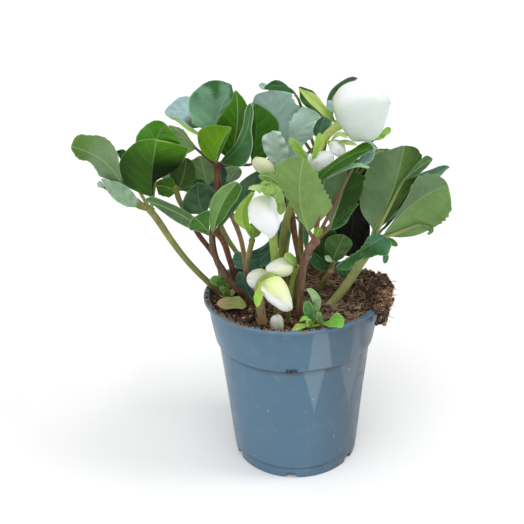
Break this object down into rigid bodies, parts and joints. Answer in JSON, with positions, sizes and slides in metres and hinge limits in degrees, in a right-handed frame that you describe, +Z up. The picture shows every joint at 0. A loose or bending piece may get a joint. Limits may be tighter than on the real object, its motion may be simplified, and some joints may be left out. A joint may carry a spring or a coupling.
{
  "type": "potted hellebore plant",
  "caption": "Young white-flowered hellebore with divided leathery leaves and opening buds, rooted in peat in a round plastic nursery pot.",
  "frame": {"origin": "centre of the pot's foot, on the pot's axis, at the level the pot stands on", "axes": "+Z up along the pot's axis; -Y towards the plant's front, where most buds face; +X to the right seen from the front"},
  "size_m": [0.2407, 0.1664, 0.257],
  "materials": {
    "pot_plastic": "satin",
    "peat": "matte",
    "rhizome": "matte",
    "leaf_stalk": "satin",
    "green_stem": "satin",
    "leaf_green": "satin",
    "leaf_pale": "satin",
    "bract_lime": "satin",
    "petal_white": "satin",
    "young_leaf": "satin",
    "old_leaf": "matte"
  },
  "bodies": {
    "root": {"pot": "pot_plastic", "root_ball": "peat", "peat_clump": "peat", "rhizome_crown": "rhizome", "far_left_stalk": "leaf_stalk", "far_left_blade": "leaf_green", "left_back_stalk": "leaf_stalk", "left_back_blade": "leaf_green", "centre_left_stalk": "leaf_stalk", "centre_left_blade": "leaf_green", "low_left_stalk": "leaf_stalk", "low_left_blade": "leaf_green", "behind_left_stalk": "leaf_stalk", "behind_left_blade": "leaf_green", "lime_low_stalk": "leaf_stalk", "lime_low_blade": "bract_lime", "centre_stalk": "leaf_stalk", "centre_blade": "leaf_green", "right_stalk": "green_stem", "right_blade": "leaf_green", "small_right_stalk": "leaf_stalk", "small_right_blade": "leaf_green", "top_pale_stalk": "leaf_stalk", "top_pale_blade": "leaf_pale", "top_back_stalk": "leaf_stalk", "top_back_blade": "leaf_green", "behind_bud_stalk": "leaf_stalk", "behind_bud_blade": "leaf_green", "back_left_stalk": "leaf_stalk", "back_left_blade": "leaf_green", "back_middle_stalk": "leaf_stalk", "back_middle_blade": "leaf_green", "back_right_stalk": "leaf_stalk", "back_right_blade": "leaf_green", "tall_flower_stem": "green_stem", "tall_flower_bracts": "bract_lime", "tall_petal_1": "petal_white", "tall_petal_2": "petal_white", "tall_petal_3": "petal_white", "tall_petal_4": "petal_white", "tall_petal_5": "petal_white", "nodding_flower_stem": "green_stem", "nodding_flower_bracts": "bract_lime", "nodding_flower_bud": "petal_white", "lime_flower_stem": "green_stem", "lime_flower_bracts": "bract_lime", "lime_flower_bud": "petal_white", "low_left_flower_stem": "green_stem", "low_left_flower_bud": "petal_white", "low_right_flower_stem": "green_stem", "low_right_flower_bracts": "bract_lime", "low_right_flower_bud": "petal_white", "tall_side_bud": "petal_white", "tall_lower_bud": "petal_white", "nodding_side_bud": "petal_white", "sprouting_bud": "petal_white", "seedling": "young_leaf", "young_leaves": "young_leaf", "teal_leaf": "leaf_green", "fallen_leaf": "old_leaf"}
  },
  "joints": []
}
